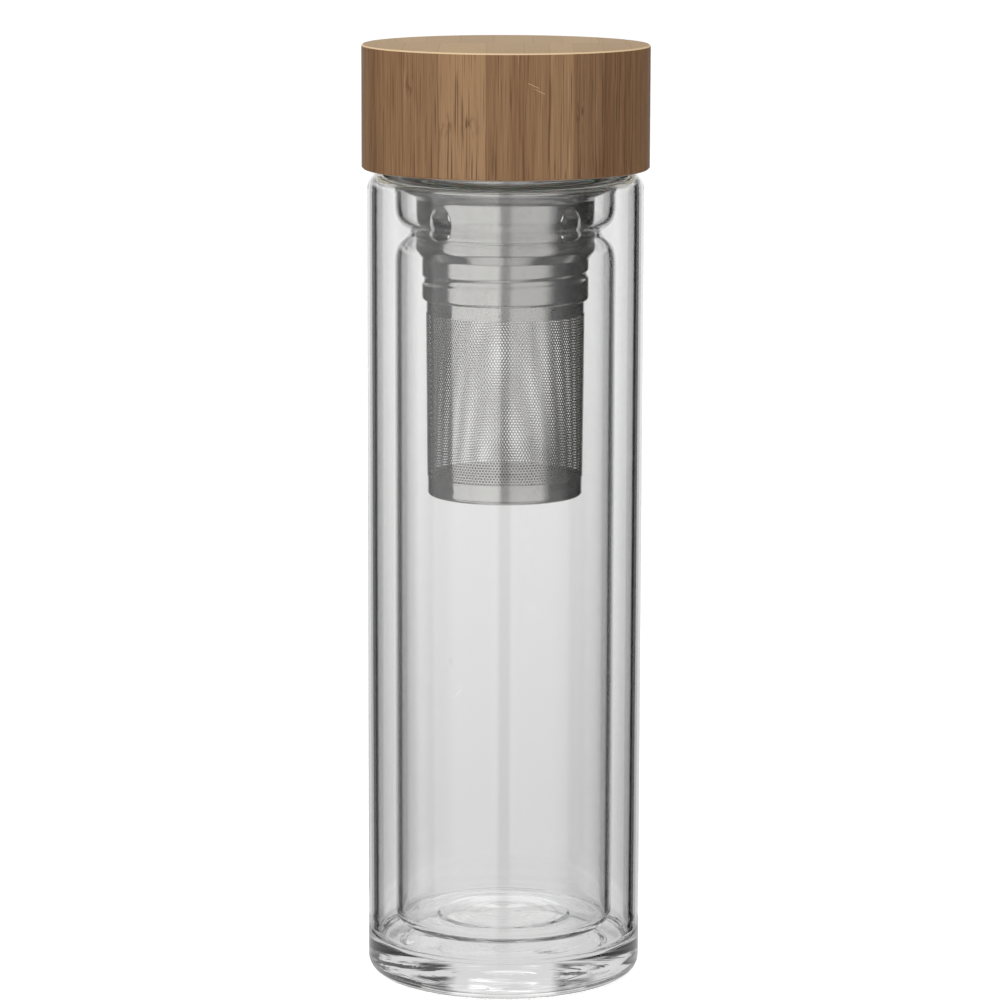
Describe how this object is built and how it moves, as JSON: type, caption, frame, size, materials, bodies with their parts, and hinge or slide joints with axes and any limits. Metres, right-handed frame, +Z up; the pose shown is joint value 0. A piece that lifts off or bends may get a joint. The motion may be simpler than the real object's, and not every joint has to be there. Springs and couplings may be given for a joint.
{
  "type": "infuser water bottle",
  "caption": "Double-walled glass water bottle with a screwed bamboo cap and a steel tea infuser that hangs in its neck.",
  "frame": {"origin": "centre of the face that the bottle stands on", "axes": "+Z up along the bottle's axis, from the base to the cap; -Y faces the viewer of the picture"},
  "size_m": [0.07, 0.07, 0.23],
  "materials": {
    "outer_glass": "clear polished borosilicate",
    "inner_glass": "clear polished borosilicate",
    "collar_steel": "drawn stainless sheet, fine turned polish",
    "basket_steel": "perforated stainless sheet",
    "bottom_steel": "pressed stainless sheet",
    "seal_silicone": "translucent white silicone",
    "gasket_silicone": "translucent white silicone",
    "liner_plastic": "off-white polypropylene",
    "bamboo": "laminated bamboo, clear oiled"
  },
  "bodies": {
    "bottle": {"outer_glass": "outer_glass", "inner_glass": "inner_glass"},
    "basket": {"basket_wall": "basket_steel", "basket_bottom": "bottom_steel"},
    "seal": {"flange_seal": "seal_silicone"},
    "collar": {"infuser_collar": "collar_steel"},
    "gasket": {"cap_gasket": "gasket_silicone"},
    "cap": {"bamboo_cap": "bamboo", "cap_liner": "liner_plastic"}
  },
  "joints": [
    {"name": "infuser_lift", "type": "slide", "parent": "bottle", "child": "basket", "axis": [0, 0, 1], "range_m": [0, 0.1]},
    {"name": "collar_rise", "type": "slide", "parent": "basket", "child": "seal", "axis": [0, 0, 1], "range_m": [0, 0.0066]},
    {"name": "collar_turn", "type": "hinge", "parent": "seal", "child": "collar", "pos_m": [0, 0, 0.1773], "axis": [0, 0, 1], "range_deg": [0, 720]},
    {"name": "cap_rise", "type": "slide", "parent": "seal", "child": "gasket", "axis": [0, 0, 1], "range_m": [0, 0.015]},
    {"name": "cap_turn", "type": "hinge", "parent": "gasket", "child": "cap", "pos_m": [0, 0, 0.2124], "axis": [0, 0, 1], "range_deg": [0, 1080]}
  ],
  "couplings": [
    {"joint": "collar_rise", "follows": "collar_turn", "m_per_rad": 0.00052521},
    {"joint": "cap_rise", "follows": "cap_turn", "m_per_rad": 0.00079577}
  ]
}
